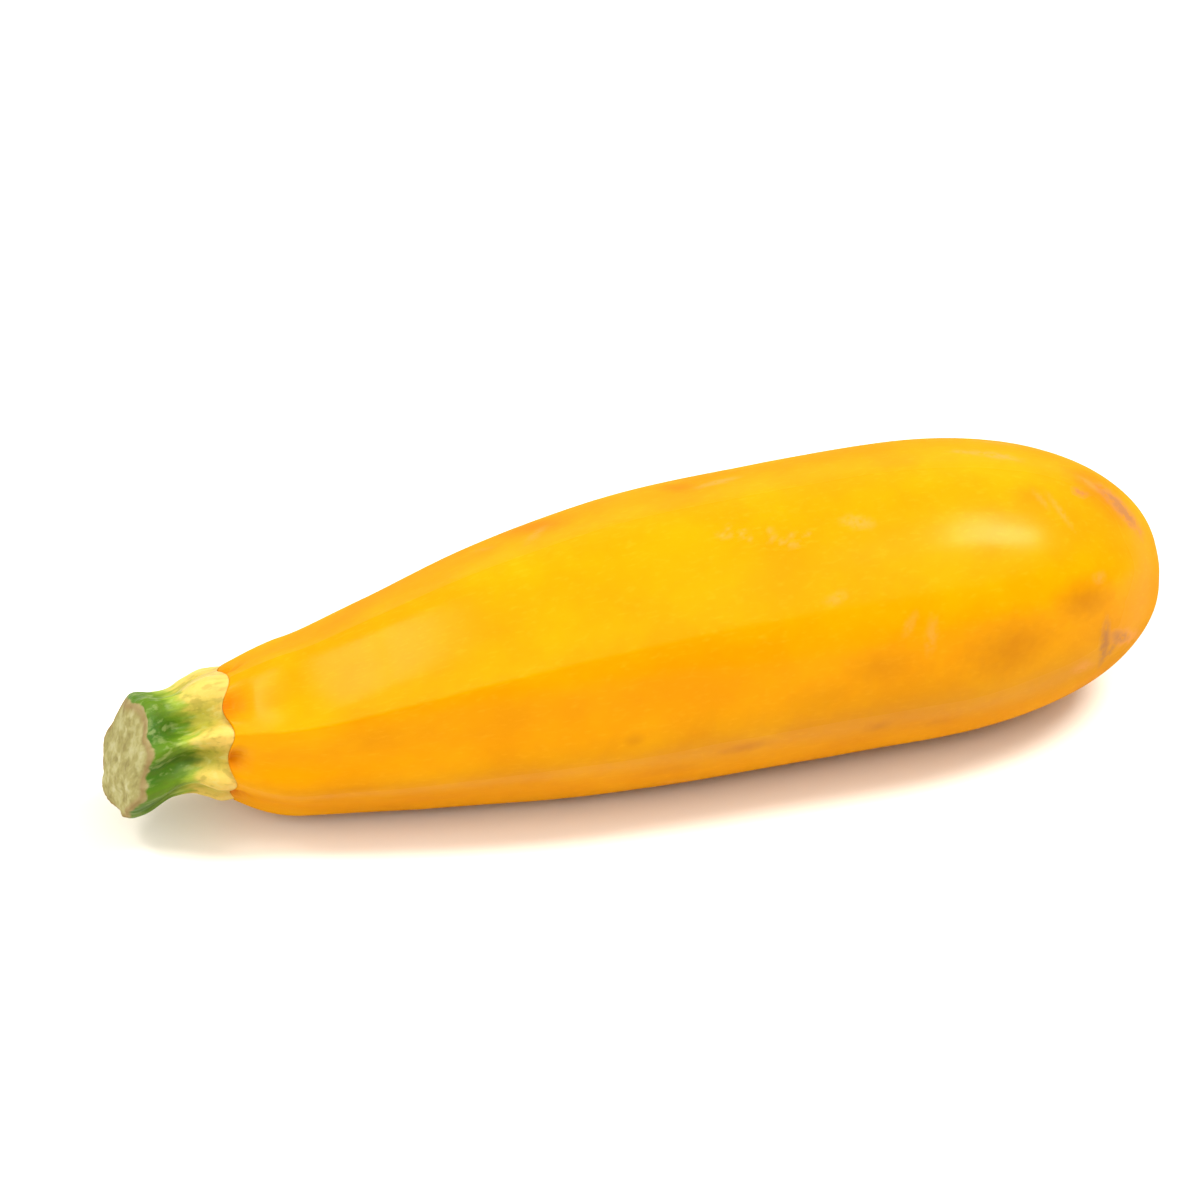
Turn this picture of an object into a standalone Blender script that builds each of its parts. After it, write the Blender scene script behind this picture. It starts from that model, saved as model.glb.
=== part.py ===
"""A golden zucchini lying on its side, picked with a short length of its stem.

The fruit runs along X, with its stem end towards -X and its blossom end towards +X, and rests on Z = 0.
Fruit and stem are two solids, each a sphere of rings and segments whose points are moved onto the skin.
"""
from math import acos, atan2, cos, exp, pi, radians, sin, tan, tau

import bmesh
import bpy
from mathutils import Vector

MM = 0.001

# The fruit's driving dimensions.
FRUIT_LENGTH = 164.5 * MM
BELLY_RADIUS = 26.5 * MM
BLOSSOM_CAP_LENGTH = 50 * MM
BLOSSOM_CAP_FULLNESS = 2.3      # 2 is an ellipse, and more is blunter
SHOULDER_LENGTH = 12 * MM
SEAT_RADIUS = 11.8 * MM
FLAT_DEPTH = 0.7 * MM

# Along the fruit, as a share of its length from the stem: its girth as a share of the belly's radius,
# the way its axis sways from side to side, and how far its underside clears the surface that it lies on.
GIRTH = ((0, 0.555), (0.08, 0.607), (0.18, 0.732), (0.3, 0.876), (0.42, 0.967), (0.6, 0.998),
         (0.75, 1), (1, 1))
SWAY = ((0, -2.5 * MM), (0.07, -2.8 * MM), (0.15, -2.4 * MM), (0.25, -2 * MM), (0.35, -1.2 * MM),
        (0.5, 0.4 * MM), (0.8, 2.1 * MM), (1, 0.9 * MM))
LIFT = ((0, 4.3 * MM), (0.07, 2.6 * MM), (0.15, 1.2 * MM), (0.25, 0.3 * MM), (0.38, -FLAT_DEPTH),
        (0.85, -FLAT_DEPTH), (1, -1.2 * MM))

# Seven ridges run from stem to blossom. Directions count from level on the viewer's side, over the top.
RIDGE_DIRECTIONS = tuple(radians(degrees) for degrees in (38, 92, 144, 196, 248, 300, 352))
RIDGE_DEPTH = ((0, 0.11), (0.08, 0.085), (0.2, 0.065), (0.4, 0.042), (0.6, 0.026), (0.85, 0.022), (1, 0.03))
RIDGE_CRISPNESS = ((0, 0.8), (0.3, 0.75), (0.6, 0.45), (0.8, 0.1), (1, 0))
RIDGE_FOLD = (1, 0.5, 1, 0.6, 0.6, 0.5, 0.05)     # whether the skin folds at each ridge or rounds over it
UNDERSIDE = radians(270)

# The blossom scar is a corky button with a dimple in its middle and a shallow moat round it.
SCAR_REACH = 4.5 * MM
SCAR_RADIUS = 2.4 * MM
SCAR_HEIGHT = 0.5 * MM
SCAR_STEEPNESS = 6
SCAR_DIMPLE = 0.15 * MM
SCAR_MOAT = 0.25 * MM
SCAR_MOAT_RADIUS = 3.5 * MM
SCAR_SOFTNESS = 1 * MM

# The stem's driving dimensions.
STEM_LENGTH = 17.2 * MM
STEM_GIRTH = ((0, 11.6 * MM), (0.13, 12 * MM), (0.3, 11.1 * MM), (0.45, 9.8 * MM), (0.6, 9.7 * MM),
              (0.85, 10.6 * MM), (1, 10.3 * MM))
STEM_RIDGE_DEPTH = ((0, 0.13), (0.3, 0.24), (0.6, 0.21), (1, 0.1))
STEM_RIDGE_FULLNESS = 0.8       # under 1, ridges are narrower than the grooves between them
# No two grooves are alike: where each lies on the way from its ridge to the next, and how deep it is.
STEM_GROOVES = ((0.36, 1.25), (0.6, 0.6), (0.5, 1), (0.45, 1.1), (0.55, 0.9), (0.4, 0.8), (0.5, 1.15))
STEM_PAD_LEAN = 0.05            # how much further the stem's thick foot reaches on its upper side
STEM_TURN = radians(31)         # towards the viewer's side, reached at the cut
STEM_RISE = radians(1)
CUT_UPWARD = radians(20)        # the cut's face looks up
CUT_SIDEWAYS = radians(-15)     # and away from the viewer's side
CUT_DOME = 2 * MM
CUT_DOME_FULLNESS = 2.5
CUT_LUMPS = ((3, 0.5 * MM), (5, 0.3 * MM))      # how many go round the cut, and how high they are
JOINT_GAP = 0.3 * MM
SCALLOP = 0.8 * MM              # how far the stem's lobes reach over the fruit, and its grooves fall short

# How finely each skin is divided.
SEGMENTS = 9 * len(RIDGE_DIRECTIONS)
SEAT_RINGS, FLANK_RINGS, SCAR_RINGS = 4, 38, 5
CUT_RINGS, SIDE_RINGS, BASE_RINGS = 5, 13, 4


def smooth_curve(stations):
    """A smooth curve through stations of (place, value), with a parabola's slope at each."""
    places, values = zip(*stations)
    steps = [after - before for before, after in zip(places, places[1:])]
    rises = [(after - before) / step for before, after, step in zip(values, values[1:], steps)]
    slopes = [rises[0]]
    for number in range(1, len(steps)):
        back, forth = steps[number - 1], steps[number]
        slopes.append((rises[number - 1] * forth + rises[number] * back) / (back + forth))
    slopes.append(rises[-1])

    def value_at(place):
        span = max(number for number in range(len(steps)) if number == 0 or place >= places[number])
        step = steps[span]
        share = (place - places[span]) / step
        far, near = share * share * (3 - 2 * share), share * (1 - share) * (1 - share)
        back = share * share * (share - 1)
        return (values[span] * (1 - far) + values[span + 1] * far
                + step * (slopes[span] * near + slopes[span + 1] * back))

    return value_at


girth_share = smooth_curve(GIRTH)
sway = smooth_curve(SWAY)
lift = smooth_curve(LIFT)
ridge_depth = smooth_curve(RIDGE_DEPTH)
ridge_crispness = smooth_curve(RIDGE_CRISPNESS)
stem_girth = smooth_curve(STEM_GIRTH)
stem_ridge_depth = smooth_curve(STEM_RIDGE_DEPTH)


def between_ridges(around):
    """The direction at a share of the way round, and how far it is from one ridge to the next."""
    count = len(RIDGE_DIRECTIONS)
    number = int(around * count) % count
    share = around * count - int(around * count)
    gap = (RIDGE_DIRECTIONS[(number + 1) % count] - RIDGE_DIRECTIONS[number]) % tau
    return RIDGE_DIRECTIONS[number] + share * gap, share


def dip(share, crispness):
    """0 on a ridge and 1 midway to the next: rounded ridges, or flat sides that meet in an edge."""
    rounded = (1 - cos(tau * share)) / 2
    faceted = 1 - (2 * share - 1) ** 2
    return rounded + (faceted - rounded) * crispness


def fold_at(around):
    """How sharply the skin folds: each ridge's own value, passing over to the next ridge's."""
    count = len(RIDGE_FOLD)
    number, share = int(around * count) % count, around * count % 1
    return RIDGE_FOLD[number] * (1 - share) + RIDGE_FOLD[(number + 1) % count] * share


def skin_share(along, around):
    """The fruit's skin at a share of the way round, as a share of its girth there."""
    direction, share = between_ridges(around)
    return 1 - ridge_depth(along) * dip(share, ridge_crispness(along) * fold_at(around))


def underside_around():
    """Straight down, as a share of the way round."""
    count = len(RIDGE_DIRECTIONS)
    number = max(i for i, direction in enumerate(RIDGE_DIRECTIONS) if direction <= UNDERSIDE)
    before, after = RIDGE_DIRECTIONS[number], RIDGE_DIRECTIONS[(number + 1) % count]
    return (number + (UNDERSIDE - before) / ((after - before) % tau)) / count


def axis_point(along):
    """The fruit's axis lies as high as the skin below it is thick, plus the lift."""
    below = BELLY_RADIUS * girth_share(along) * skin_share(along, underside_around())
    return Vector((along * FRUIT_LENGTH, sway(along), below + lift(along)))


def axis_frame(along):
    """The axis point, with the way along it, the way across towards the viewer's side, and the way up."""
    step = 0.002
    start, end = max(0, along - step), min(1, along + step)
    onward = (axis_point(end) - axis_point(start)).normalized()
    across = Vector((onward.y, -onward.x, 0)).normalized()
    return axis_point(along), onward, across, onward.cross(across) * -1


def outward(across, up, direction):
    """From the axis, the way that a direction round it points."""
    return across * cos(direction) + up * sin(direction)


def scallop(share, radius):
    """How far the joint between stem and fruit waves along the axis: forward on ridges, back in grooves."""
    return SCALLOP * cos(tau * share) * (radius / SEAT_RADIUS) ** 2


def cap_distance(radius):
    """How far from the fruit's start the rounded blossom end has shrunk to this radius."""
    closed = (radius / BELLY_RADIUS) ** BLOSSOM_CAP_FULLNESS
    return FRUIT_LENGTH - BLOSSOM_CAP_LENGTH * (1 - (1 - closed) ** (1 / BLOSSOM_CAP_FULLNESS))


def fruit_radius(distance):
    """The girth, drawn in at the shoulder and rounded off at the blossom end."""
    radius = BELLY_RADIUS * girth_share(distance / FRUIT_LENGTH)
    to_seat = max(0, 1 - distance / SHOULDER_LENGTH)
    radius = SEAT_RADIUS + (radius - SEAT_RADIUS) * (1 - to_seat ** 2)
    into_cap = max(0, 1 - (FRUIT_LENGTH - distance) / BLOSSOM_CAP_LENGTH)
    return radius * (1 - into_cap ** BLOSSOM_CAP_FULLNESS) ** (1 / BLOSSOM_CAP_FULLNESS)


def scar_relief(radius):
    """How far the blossom scar stands out of the skin at a distance from its middle."""
    button = SCAR_HEIGHT / (1 + (radius / SCAR_RADIUS) ** SCAR_STEEPNESS)
    dimple = SCAR_DIMPLE * exp(-(radius / SCAR_SOFTNESS) ** 2)
    moat = SCAR_MOAT * exp(-((radius - SCAR_MOAT_RADIUS) / SCAR_SOFTNESS) ** 2)
    return button - dimple - moat


def fruit_point(ring, around):
    """Rings run out over the seat, along the flank, and in over the blossom scar."""
    direction, share = between_ridges(around)
    flank_end = cap_distance(SCAR_REACH)
    if ring <= SEAT_RINGS:
        distance, radius = 0, SEAT_RADIUS * ring / SEAT_RINGS
    elif ring <= SEAT_RINGS + FLANK_RINGS:
        distance = flank_end * (1 - cos(pi * (ring - SEAT_RINGS) / FLANK_RINGS)) / 2
        radius = fruit_radius(distance)
    else:
        radius = SCAR_REACH * (1 - (ring - SEAT_RINGS - FLANK_RINGS) / SCAR_RINGS)
        distance = cap_distance(radius)
    along = distance / FRUIT_LENGTH
    radius *= skin_share(along, around)
    to_seat = max(0, 1 - distance / SHOULDER_LENGTH)
    shift = scallop(share, radius) * to_seat ** 2
    if distance >= flank_end:
        shift += scar_relief(radius)
    point, onward, across, up = axis_frame(along)
    return point + onward * shift + outward(across, up, direction) * radius


def stem_frame(along):
    """The stem leaves the fruit along its axis and bends away, as a share of its length from the joint."""
    point, onward, across, up = axis_frame(0)
    length = STEM_LENGTH * along
    bend = along * length / 2
    middle = point - onward * length + across * bend * sin(STEM_TURN) + up * bend * sin(STEM_RISE)
    back = (onward - across * along * sin(STEM_TURN) - up * along * sin(STEM_RISE)).normalized()
    side = up.cross(back).normalized() * -1
    return middle, back, side, back.cross(side) * -1


def cut_relief(radius, direction):
    """The cut dried domed, and lumpy towards its rim."""
    share = radius / stem_girth(1)
    lumps = sum(height * sin(count * (direction + share)) for count, height in CUT_LUMPS)
    return CUT_DOME * (1 - share ** CUT_DOME_FULLNESS) + share * lumps


def stem_dip(around):
    """0 on a ridge of the stem, rising to the depth of the groove between it and the next."""
    number = int(around * len(STEM_GROOVES)) % len(STEM_GROOVES)
    share = around * len(STEM_GROOVES) % 1
    place, depth = STEM_GROOVES[number]
    down_side = share / place if share < place else (1 - share) / (1 - place)
    return depth * ((1 - cos(pi * down_side)) / 2) ** STEM_RIDGE_FULLNESS


def stem_point(ring, around):
    """Rings run out over the cut, along the side, and in over the base."""
    direction, share = between_ridges(around)
    along, inward = 1, 1
    if ring < CUT_RINGS:
        inward = ring / CUT_RINGS
    elif ring <= CUT_RINGS + SIDE_RINGS:
        along = 1 - (ring - CUT_RINGS) / SIDE_RINGS
    else:
        along, inward = 0, 1 - (ring - CUT_RINGS - SIDE_RINGS) / BASE_RINGS
    leaned = along - STEM_PAD_LEAN * sin(direction) * along * (1 - along)
    radius = stem_girth(leaned) * inward * (1 - stem_ridge_depth(along) * stem_dip(around))
    middle, back, side, up = stem_frame(along)
    slant = radius * (sin(direction) * tan(CUT_UPWARD) + cos(direction) * tan(CUT_SIDEWAYS))
    slant -= cut_relief(radius, direction)
    seat = scallop(share, radius) - JOINT_GAP
    shift = slant * along ** 3 + seat * (1 - along) ** 3
    return middle + back * shift + outward(side, up, direction) * radius


def skin_mesh(name, rings, point_at):
    """A sphere of rings and segments, with its first pole towards -X and every point moved onto the skin.

    Directions turn the same way round on both, so the skin's faces point outwards as the sphere's do.
    """
    shape = bmesh.new()
    bmesh.ops.create_uvsphere(shape, u_segments=SEGMENTS, v_segments=rings, radius=1)
    for corner in shape.verts:
        x, y, z = corner.co
        ring = round(rings * acos(max(-1, min(1, z))) / pi)
        segment = round(SEGMENTS * atan2(y, x) / tau) % SEGMENTS
        corner.co = point_at(ring, segment / SEGMENTS)
    mesh = bpy.data.meshes.new(name)
    shape.to_mesh(mesh)
    shape.free()
    mesh.shade_smooth()
    return mesh


def finish(name, colour, roughness):
    """A plain coloured surface."""
    material = bpy.data.materials.new(name)
    material.use_nodes = True
    shader = material.node_tree.nodes["Principled BSDF"]
    shader.inputs["Base Color"].default_value = (*colour, 1)
    shader.inputs["Roughness"].default_value = roughness
    shader.inputs["Metallic"].default_value = 0
    material.diffuse_color = (*colour, 1)
    return material


def add_piece(name, mesh, material, collection, parent):
    piece = bpy.data.objects.new(name, mesh)
    mesh.materials.append(material)
    collection.objects.link(piece)
    piece.parent = parent
    return piece


def add_fruit(collection, parent):
    mesh = skin_mesh("fruit", SEAT_RINGS + FLANK_RINGS + SCAR_RINGS, fruit_point)
    return add_piece("fruit", mesh, finish("golden skin", (1, 0.46, 0.005), 0.33), collection, parent)


def add_stem(collection, parent):
    mesh = skin_mesh("stem", CUT_RINGS + SIDE_RINGS + BASE_RINGS, stem_point)
    return add_piece("stem", mesh, finish("cut stem", (0.42, 0.45, 0.08), 0.6), collection, parent)


def rest_flat(fruit, cutters, parent):
    """The fruit's own weight flattens its underside: a block whose top is at Z = 0 trims it there."""
    length, width, depth = 2 * FRUIT_LENGTH, 4 * BELLY_RADIUS, BELLY_RADIUS
    bpy.ops.mesh.primitive_cube_add(size=1, location=(FRUIT_LENGTH / 2, 0, -depth / 2))
    block = bpy.context.object
    block.name = "resting surface"
    block.scale = (length, width, depth)
    block.parent = parent
    block.hide_render = True
    block.display_type = "WIRE"
    for collection in tuple(block.users_collection):
        collection.objects.unlink(block)
    cutters.objects.link(block)
    trim = fruit.modifiers.new("flat spot", "BOOLEAN")
    trim.operation = "DIFFERENCE"
    trim.solver = "EXACT"
    trim.object = block


def stand_in_middle(holder, pieces):
    """The middle of the pieces' box, seen from above, goes to the origin."""
    corners = [vertex.co for piece in pieces for vertex in piece.data.vertices]
    for side in (0, 1):
        low, high = min(c[side] for c in corners), max(c[side] for c in corners)
        holder.location[side] = -(low + high) / 2


def new_collection(name):
    collection = bpy.data.collections.new(name)
    bpy.context.scene.collection.children.link(collection)
    return collection


def main():
    for old in tuple(bpy.data.objects):
        bpy.data.objects.remove(old)
    parts, cutters = new_collection("zucchini"), new_collection("cutters")
    holder = bpy.data.objects.new("zucchini", None)
    parts.objects.link(holder)
    fruit = add_fruit(parts, holder)
    stem = add_stem(parts, holder)
    stand_in_middle(holder, (fruit, stem))
    rest_flat(fruit, cutters, holder)


main()
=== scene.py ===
# %% [markdown]
# # A golden zucchini
# A zucchini is a berry that grew in one piece: firm flesh inside a thin, waxy rind. It hangs on a woody
# stalk, and is picked by cutting that stalk, so a short stem stays on it. The model's solids give both
# pieces their size and place. The lesson builds finer skins over them, then the finishes of the rind and
# the stalk, the light and the camera.

# %% Load the frame
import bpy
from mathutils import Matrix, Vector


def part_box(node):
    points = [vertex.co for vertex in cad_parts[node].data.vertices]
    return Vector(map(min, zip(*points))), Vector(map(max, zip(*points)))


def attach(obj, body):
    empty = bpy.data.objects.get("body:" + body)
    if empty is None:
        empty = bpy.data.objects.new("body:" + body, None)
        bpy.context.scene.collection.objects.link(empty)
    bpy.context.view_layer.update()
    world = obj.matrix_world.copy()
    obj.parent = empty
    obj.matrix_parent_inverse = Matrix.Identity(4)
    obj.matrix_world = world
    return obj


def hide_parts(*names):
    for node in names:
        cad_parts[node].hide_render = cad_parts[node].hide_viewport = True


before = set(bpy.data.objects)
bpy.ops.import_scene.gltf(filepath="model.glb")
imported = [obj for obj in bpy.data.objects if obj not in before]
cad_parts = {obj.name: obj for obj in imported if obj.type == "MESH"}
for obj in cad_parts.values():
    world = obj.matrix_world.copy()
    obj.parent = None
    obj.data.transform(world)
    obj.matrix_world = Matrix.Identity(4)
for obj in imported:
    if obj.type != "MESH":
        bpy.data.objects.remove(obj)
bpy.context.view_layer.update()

MM = 0.001


def in_mm(corners):
    """The corners of a box in millimetres, for printing."""
    return [[round(side / MM, 2) for side in corner] for corner in corners]


# %% [markdown]
# ## Curves through a few stations
# A fruit has no straight lines, and its girth, its sway and the depth of its ridges all change along it.
# Each could be sculpted, or drawn as a curve object. Here each is a short list of (place, value), with a
# smooth curve through it, because the same few numbers then shape the solid and the fine skin alike.

# %% A smooth curve for whole arrays of places
from math import pi, radians, tau

import bpy
import numpy as np
from mathutils import Vector, noise


def smooth_curve(stations):
    """A smooth curve through stations of (place, value), with a parabola's slope at each."""
    places, values = np.array(stations, float).T
    steps = np.diff(places)
    rises = np.diff(values) / steps
    inner = (rises[:-1] * steps[1:] + rises[1:] * steps[:-1]) / (steps[:-1] + steps[1:])
    slopes = np.concatenate((rises[:1], inner, rises[-1:]))

    def value_at(place):
        span = np.clip(np.searchsorted(places, place, side="right") - 1, 0, len(steps) - 1)
        share = (place - places[span]) / steps[span]
        far, near = share ** 2 * (3 - 2 * share), share * (1 - share) ** 2
        back = share ** 2 * (share - 1)
        return (values[span] * (1 - far) + values[span + 1] * far
                + steps[span] * (slopes[span] * near + slopes[span + 1] * back))

    return value_at


print("a curve through 0, 1 and 0 passes", smooth_curve(((0, 0), (1, 1), (2, 0)))(np.array((0.5, 1, 1.5))))

# %% [markdown]
# ## The fruit's form
# The fruit is a club: a narrow neck at the stem, a full belly, and a blunt rounded blossom end. It lies on
# its belly, so the axis is as high as the skin below it is thick. Seven ridges run along it, sharp at the
# neck and almost lost at the belly, because the fruit grew round seven strands that fed it from the stalk.
# It could be sculpted by eye. Here a formula gives the skin's radius at any place and in any direction,
# because the fine skin then agrees with the solid everywhere.

# %% The fruit's driving dimensions
FRUIT_LENGTH = 164.5 * MM
BELLY_RADIUS = 26.5 * MM
BLOSSOM_CAP_LENGTH = 50 * MM
BLOSSOM_CAP_FULLNESS = 2.3      # 2 is an ellipse, and more is blunter
SHOULDER_LENGTH = 12 * MM       # over which the neck draws in to the stem
SEAT_RADIUS = 11.8 * MM         # of the seat that the stem stands on
FLAT_DEPTH = 0.7 * MM           # how far the fruit's weight presses its underside flat
girth_share = smooth_curve(((0, 0.555), (0.08, 0.607), (0.18, 0.732), (0.3, 0.876), (0.42, 0.967),
                            (0.6, 0.998), (0.75, 1), (1, 1)))
sway = smooth_curve(((0, -2.5 * MM), (0.07, -2.8 * MM), (0.15, -2.4 * MM), (0.25, -2 * MM),
                     (0.35, -1.2 * MM), (0.5, 0.4 * MM), (0.8, 2.1 * MM), (1, 0.9 * MM)))
lift = smooth_curve(((0, 4.3 * MM), (0.07, 2.6 * MM), (0.15, 1.2 * MM), (0.25, 0.3 * MM),
                     (0.38, -FLAT_DEPTH), (0.85, -FLAT_DEPTH), (1, -1.2 * MM)))
neck_width = 2 * BELLY_RADIUS * girth_share(SHOULDER_LENGTH / FRUIT_LENGTH)
print("the neck is", round(float(neck_width) / MM, 1), "mm thick where the shoulder starts")

# %% The ridges
RIDGES = np.radians((38, 92, 144, 196, 248, 300, 352))      # from level on the viewer's side, over the top
RIDGE_FOLD = np.array((1, 0.5, 1, 0.6, 0.6, 0.5, 0.05))     # 1 where the skin folds, 0 where it rounds over
UNDERSIDE = radians(270)
ridge_depth = smooth_curve(((0, 0.11), (0.08, 0.085), (0.2, 0.065), (0.4, 0.042), (0.6, 0.026),
                            (0.85, 0.022), (1, 0.03)))
ridge_crispness = smooth_curve(((0, 0.8), (0.3, 0.75), (0.6, 0.45), (0.8, 0.1), (1, 0)))


def ridge_before(around):
    """At a share of the way round: the number of the ridge before it, and how far it is to the next."""
    number = np.floor(around * len(RIDGES)).astype(int)
    return number, around * len(RIDGES) - number


def between_ridges(around):
    """The direction at a share of the way round, and how far it is from one ridge to the next."""
    number, share = ridge_before(around)
    gap = (np.roll(RIDGES, -1) - RIDGES) % tau
    return RIDGES[number] + share * gap[number], share


def dip(share, crispness):
    """0 on a ridge and 1 midway to the next: rounded ridges, or flat sides that meet in an edge."""
    rounded = (1 - np.cos(tau * share)) / 2
    faceted = 1 - (2 * share - 1) ** 2
    return rounded + (faceted - rounded) * crispness


def skin_share(along, around):
    """The fruit's skin at a share of the way round, as a share of its girth there."""
    number, share = ridge_before(around)
    fold = RIDGE_FOLD[number] * (1 - share) + np.roll(RIDGE_FOLD, -1)[number] * share
    return 1 - ridge_depth(along) * dip(share, ridge_crispness(along) * fold)


below = np.flatnonzero(RIDGES <= UNDERSIDE)[-1]
underside_share = (UNDERSIDE - RIDGES[below]) / (RIDGES[below + 1] - RIDGES[below])
underside_around = (below + underside_share) / len(RIDGES)
print("straight down falls", round(underside_share, 2), "of the way between two ridges")

# %% The axis and its frame
AXIS_STEP = 0.002               # the share of the length over which the axis's direction is measured


def unit(vectors):
    """The same directions with a length of 1."""
    return vectors / np.linalg.norm(vectors, axis=-1, keepdims=True)


def axis_point(along):
    """The fruit's axis lies as high as the skin below it is thick, plus the lift."""
    under = BELLY_RADIUS * girth_share(along) * skin_share(along, underside_around)
    return np.stack((along * FRUIT_LENGTH, sway(along), under + lift(along)), -1)


def axis_frame(along):
    """The axis point, with the ways onward along it, across to the viewer's side, and up."""
    ahead, behind = np.minimum(along + AXIS_STEP, 1), np.maximum(along - AXIS_STEP, 0)
    onward = unit(axis_point(ahead) - axis_point(behind))
    across = unit(np.stack((onward[..., 1], -onward[..., 0], 0 * along), -1))
    return axis_point(along), onward, across, np.cross(across, onward)


print("the axis starts and ends at, in mm:", in_mm(axis_point(np.array((0, 1)))))


# %% The neck, the shoulder and the rounded blossom end
def blossom_rounding(distance):
    """How far the rounded blossom end has drawn in: 1 along the fruit, and 0 at its tip."""
    into_cap = np.maximum(0, 1 - (FRUIT_LENGTH - distance) / BLOSSOM_CAP_LENGTH)
    return (1 - into_cap ** BLOSSOM_CAP_FULLNESS) ** (1 / BLOSSOM_CAP_FULLNESS)


def cap_distance(radius):
    """How far from the fruit's start the blossom end has shrunk to this radius."""
    closed = (radius / BELLY_RADIUS) ** BLOSSOM_CAP_FULLNESS
    return FRUIT_LENGTH - BLOSSOM_CAP_LENGTH * (1 - (1 - closed) ** (1 / BLOSSOM_CAP_FULLNESS))


def fruit_radius(distance):
    """The girth, drawn in at the shoulder and rounded off at the blossom end."""
    to_seat = np.maximum(0, 1 - distance / SHOULDER_LENGTH)
    girth = BELLY_RADIUS * girth_share(distance / FRUIT_LENGTH)
    return (SEAT_RADIUS + (girth - SEAT_RADIUS) * (1 - to_seat ** 2)) * blossom_rounding(distance)


print("radius in mm at 0, 40, 80 and 150 mm:", fruit_radius(np.array((0, 40, 80, 150)) * MM) / MM)

# %% [markdown]
# ## The fruit's rings
# The skin could be a subdivided cage, but its ridges and marks have to sit at known places. So it is a
# lattice: rings out over the seat that the stem stands on, along the flank, and in over the blossom scar.
# Every later step works on the whole lattice at once, and each of its points keeps its distance along the
# fruit and its direction round it.

# %% Where each ring lies
FRUIT_SEGMENTS = 40 * len(RIDGES)               # points in each ring
SEAT_RINGS, FLANK_RINGS, SCAR_RINGS = 6, 290, 34
SCAR_REACH = 4.5 * MM                           # the radius within which the scar's close rings lie

run = np.linspace(0, 1, FLANK_RINGS + 1)
closer_at_ends = (run + (1 - np.cos(pi * run)) / 2) / 2
flank = cap_distance(SCAR_REACH) * closer_at_ends
scar_radius = SCAR_REACH * (1 - np.arange(1, SCAR_RINGS + 1) / SCAR_RINGS)
seat_radius = SEAT_RADIUS * np.arange(SEAT_RINGS) / SEAT_RINGS
distance = np.concatenate((np.zeros(SEAT_RINGS), flank, cap_distance(scar_radius)))[:, None]
ring_radius = np.concatenate((seat_radius, fruit_radius(flank), scar_radius))
around = np.arange(FRUIT_SEGMENTS) / FRUIT_SEGMENTS
direction, share = between_ridges(around)
radius = ring_radius[:, None] * skin_share(distance / FRUIT_LENGTH, around)
print("fruit lattice:", radius.shape, "with", round(flank[-1] / FLANK_RINGS / MM, 2), "mm from ring to ring")

# %% [markdown]
# ## Relief of the rind
# A real rind is never as even as its formula. It has low swellings a thumb wide, faint ribs along it,
# dimples in the grooves beside the stalk, and a corky button where the flower dropped off. Bump in a
# material could draw all of this, but a light has to catch it at the outline too, so here the points move.
# They only go inwards, so that the skin stays in the solid's box.

# %% Noise that follows the growth
OCTAVE_FALL, OCTAVE_STEP = 1, 2                 # each octave is half as strong and half as wide

# Adding 0 * radius spreads what is known for each ring, or for each direction, over the whole lattice.
growth = np.stack((distance + 0 * radius, blossom_rounding(distance) * BELLY_RADIUS * np.cos(direction),
                   blossom_rounding(distance) * BELLY_RADIUS * np.sin(direction)), -1)


def lumps(places, size, stretch=1, octaves=2):
    """Soft noise from about -1 to 1 with lumps of this size, stretched along the growth."""
    scaled = (places / size / (stretch, 1, 1)).reshape(-1, 3)
    heights = [noise.fractal(Vector(place), OCTAVE_FALL, OCTAVE_STEP, octaves) for place in scaled]
    return np.array(heights).reshape(places.shape[:-1])


def hollows(places, size, stretch=1, octaves=2):
    """The same noise as depths from 0 to about 1."""
    return np.clip(0.5 - 0.5 * lumps(places, size, stretch, octaves), 0, None)


print("the growth spans, in mm:", growth.reshape(-1, 3).min(0) / MM, growth.reshape(-1, 3).max(0) / MM)

# %% Swellings, ribs and the dimples at the stem
SWELLING, SWELLING_SIZE, SWELLING_STRETCH = 0.22 * MM, 13 * MM, 1.6
RIB, RIB_WIDTH, RIB_STRETCH = 0.025 * MM, 1.7 * MM, 10
DIMPLE, DIMPLE_FROM_STEM, DIMPLE_REACH = 1.3 * MM, 1.6 * MM, 1.8 * MM

swell = SWELLING * hollows(growth, SWELLING_SIZE, SWELLING_STRETCH)
ribs = RIB * hollows(growth, RIB_WIDTH, RIB_STRETCH)
beside_stem = np.exp(-((distance - DIMPLE_FROM_STEM) / DIMPLE_REACH) ** 2)
dimples = DIMPLE * dip(share, 0) ** 2 * beside_stem
away_from_ends = np.clip(distance / SHOULDER_LENGTH, 0, 1) * blossom_rounding(distance)
radius = radius - (swell + ribs) * away_from_ends - dimples
print("deepest swelling", round(swell.max() / MM, 2), "mm, deepest rib", round(ribs.max() / MM, 3), "mm")

# %% The blossom scar
SCAR_RADIUS, SCAR_HEIGHT = 2.4 * MM, 0.5 * MM
SCAR_STEEPNESS = 6
SCAR_DIMPLE = 0.15 * MM                         # the hollow in its middle
SCAR_MOAT, SCAR_MOAT_RADIUS = 0.25 * MM, 3.5 * MM
SCAR_SOFTNESS = 1 * MM                          # how wide the hollow and the moat are
PETALS, PETAL_DEPTH = 5, 0.07                   # each petal left a flat in the rim
SCAR_CRUMBLE, SCAR_GRAIN = 0.12 * MM, 0.7 * MM


def plateau(radius, edge):
    """1 within the edge and 0 beyond it, with a steep slope between."""
    return 1 / (1 + (radius / edge) ** SCAR_STEEPNESS)


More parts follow.
